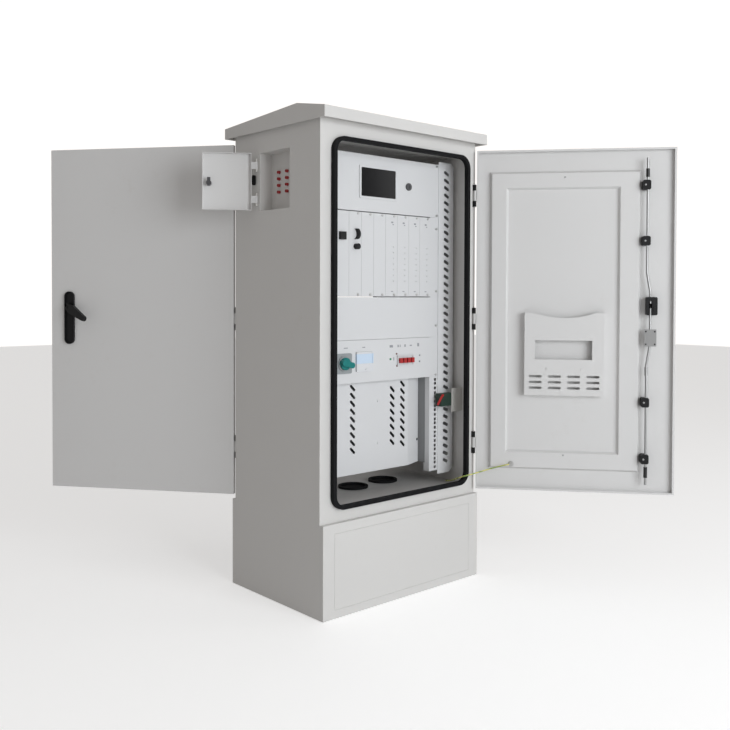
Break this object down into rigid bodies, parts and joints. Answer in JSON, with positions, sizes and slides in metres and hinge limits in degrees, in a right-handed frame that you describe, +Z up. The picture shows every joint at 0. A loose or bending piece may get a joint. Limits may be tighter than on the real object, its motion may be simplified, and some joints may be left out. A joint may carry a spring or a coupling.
{
  "type": "roadside utility cabinet",
  "caption": "Light grey roadside utility cabinet on a plinth, with front and rear doors open on its rack units and a small side hatch.",
  "frame": {"origin": "middle of the plinth's underside, on the ground", "axes": "+X to the cabinet's right as seen from the front door's side, +Y from front to back, +Z up"},
  "size_m": [1.458, 1.4867, 1.499],
  "materials": {
    "wall_paint": "fine textured satin powder coat, light warm grey",
    "door_paint": "fine textured satin powder coat, light grey",
    "seal_rubber": "matt black",
    "black_plastic": "satin black",
    "zinc_steel": "bright zinc plated",
    "dark_paint": "matt dark grey",
    "panel_paint": "smooth satin, very light grey",
    "display_glass": "black gloss",
    "grey_plastic": "satin grey",
    "teal_plastic": "semi-gloss teal",
    "meter_plastic": "pale face behind clear plastic",
    "red_plastic": "semi-gloss red",
    "green_plastic": "dark green",
    "strap_cover": "yellow and green insulation"
  },
  "bodies": {
    "cabinet": {"plinth_frame": "wall_paint", "plinth_covers": "wall_paint", "left_side_wall": "wall_paint", "right_side_wall": "wall_paint", "front_frame": "wall_paint", "rear_frame": "wall_paint", "floor_plate": "wall_paint", "cable_entries": "seal_rubber", "ceiling_plate": "wall_paint", "roof_cover": "wall_paint", "door_seals": "seal_rubber", "hinge_lugs": "black_plastic", "hinge_pins": "zinc_steel", "rack_uprights": "panel_paint", "display_unit": "panel_paint", "display_glass": "display_glass", "subrack_case": "panel_paint", "subrack_modules": "panel_paint", "module_fittings": "black_plastic", "unit_screws": "zinc_steel", "blank_panel": "panel_paint", "distribution_unit": "panel_paint", "switch_plate": "grey_plastic", "panel_meter": "meter_plastic", "breaker_block": "panel_paint", "baffle_plate": "panel_paint", "door_switch_bracket": "zinc_steel", "door_switch_body": "green_plastic", "lower_case": "dark_paint", "hatch_recess": "wall_paint", "hatch_sockets": "red_plastic", "hatch_hinges": "zinc_steel", "hatch_stop": "seal_rubber", "earth_strap": "strap_cover"},
    "front_door": {"front_door_skin": "door_paint", "front_door_pan": "door_paint", "front_rod_guides": "black_plastic", "front_lock_case": "black_plastic", "front_handle_dish": "black_plastic", "document_pocket": "door_paint", "strap_lug": "zinc_steel"},
    "front_upper_rod_body": {"front_upper_rod": "zinc_steel"},
    "front_lower_rod_body": {"front_lower_rod": "zinc_steel"},
    "front_handle_hub_body": {"front_handle_hub": "black_plastic"},
    "front_handle_lever_body": {"front_handle_lever": "black_plastic"},
    "rear_door": {"rear_door_skin": "door_paint", "rear_door_pan": "door_paint", "rear_rod_guides": "black_plastic", "rear_lock_case": "black_plastic", "rear_handle_dish": "black_plastic"},
    "rear_upper_rod_body": {"rear_upper_rod": "zinc_steel"},
    "rear_lower_rod_body": {"rear_lower_rod": "zinc_steel"},
    "rear_handle_hub_body": {"rear_handle_hub": "black_plastic"},
    "rear_handle_lever_body": {"rear_handle_lever": "black_plastic"},
    "hatch_door": {"hatch_leaf": "wall_paint"},
    "hatch_cam_lock": {"hatch_lock": "zinc_steel"},
    "display_lock_barrel": {"display_lock": "zinc_steel"},
    "switch_handle": {"switch_lever": "teal_plastic"},
    "breaker_handle": {"breaker_toggles": "red_plastic"},
    "door_switch_lever": {"door_switch_arm": "red_plastic"}
  },
  "joints": [
    {"name": "front_door_swing", "type": "hinge", "parent": "cabinet", "child": "front_door", "pos_m": [0.322, -0.228, 0.862], "axis": [0, 0, 1], "range_deg": [-129, 6], "deforming": ["earth_strap"]},
    {"name": "front_handle_turn", "type": "hinge", "parent": "front_door", "child": "front_handle_hub_body", "pos_m": [0.69565, -0.67432, 0.898], "axis": [-0.7771, -0.6293, 0], "range_deg": [-26, 64]},
    {"name": "front_lever_lift", "type": "hinge", "parent": "front_handle_hub_body", "child": "front_handle_lever_body", "pos_m": [0.70692, -0.66519, 0.898], "axis": [-0.2759, 0.3407, 0.8988], "range_deg": [-10, 24]},
    {"name": "front_lower_rod_slide", "type": "slide", "parent": "front_door", "child": "front_lower_rod_body", "axis": [0, 0, -1], "range_m": [-0.00635, 0.01563]},
    {"name": "front_upper_rod_slide", "type": "slide", "parent": "front_door", "child": "front_upper_rod_body", "axis": [0, 0, 1], "range_m": [-0.00635, 0.01563]},
    {"name": "rear_door_swing", "type": "hinge", "parent": "cabinet", "child": "rear_door", "pos_m": [-0.322, 0.228, 0.862], "axis": [0, 0, 1], "range_deg": [-127, 6]},
    {"name": "rear_handle_turn", "type": "hinge", "parent": "rear_door", "child": "rear_handle_hub_body", "pos_m": [-0.67984, 0.68709, 0.898], "axis": [0.7986, 0.6018, 0], "range_deg": [-26, 64]},
    {"name": "rear_lever_lift", "type": "hinge", "parent": "rear_handle_hub_body", "child": "rear_handle_lever_body", "pos_m": [-0.69142, 0.67836, 0.898], "axis": [0.2638, -0.3501, 0.8988], "range_deg": [-10, 24]},
    {"name": "rear_lower_rod_slide", "type": "slide", "parent": "rear_door", "child": "rear_lower_rod_body", "axis": [0, 0, -1], "range_m": [-0.00635, 0.01563]},
    {"name": "rear_upper_rod_slide", "type": "slide", "parent": "rear_door", "child": "rear_upper_rod_body", "axis": [0, 0, 1], "range_m": [-0.00635, 0.01563]},
    {"name": "hatch_swing", "type": "hinge", "parent": "cabinet", "child": "hatch_door", "pos_m": [-0.334, 0.0945, 1.289], "axis": [0, 0, 1], "range_deg": [-15, 124]},
    {"name": "hatch_lock_turn", "type": "hinge", "parent": "hatch_door", "child": "hatch_cam_lock", "pos_m": [-0.45645, 0.17227, 1.283], "axis": [-0.5592, -0.829, 0], "range_deg": [0, 90]},
    {"name": "display_lock_turn", "type": "hinge", "parent": "cabinet", "child": "display_lock_barrel", "pos_m": [0.1006, -0.135, 1.292], "axis": [0, 1, 0], "range_deg": [0, 90]},
    {"name": "switch_turn", "type": "hinge", "parent": "cabinet", "child": "switch_handle", "pos_m": [-0.173, -0.141, 0.73], "axis": [0, 1, 0], "range_deg": [-75, 90]},
    {"name": "breaker_throw", "type": "hinge", "parent": "cabinet", "child": "breaker_handle", "pos_m": [0.088, -0.1393, 0.729], "axis": [1, 0, 0], "range_deg": [-20, 20]},
    {"name": "door_switch_press", "type": "hinge", "parent": "cabinet", "child": "door_switch_lever", "pos_m": [0.233, -0.1665, 0.606], "axis": [0, 1, 0], "range_deg": [-20, 0], "stiffness_Nm_per_rad": 0.05, "springref_deg": 5.73}
  ],
  "couplings": [
    {"joint": "front_handle_turn", "follows": "front_lower_rod_slide", "rad_per_m": 71.429},
    {"joint": "front_upper_rod_slide", "follows": "front_lower_rod_slide", "ratio": 1},
    {"joint": "rear_handle_turn", "follows": "rear_lower_rod_slide", "rad_per_m": 71.429},
    {"joint": "rear_upper_rod_slide", "follows": "rear_lower_rod_slide", "ratio": 1}
  ]
}
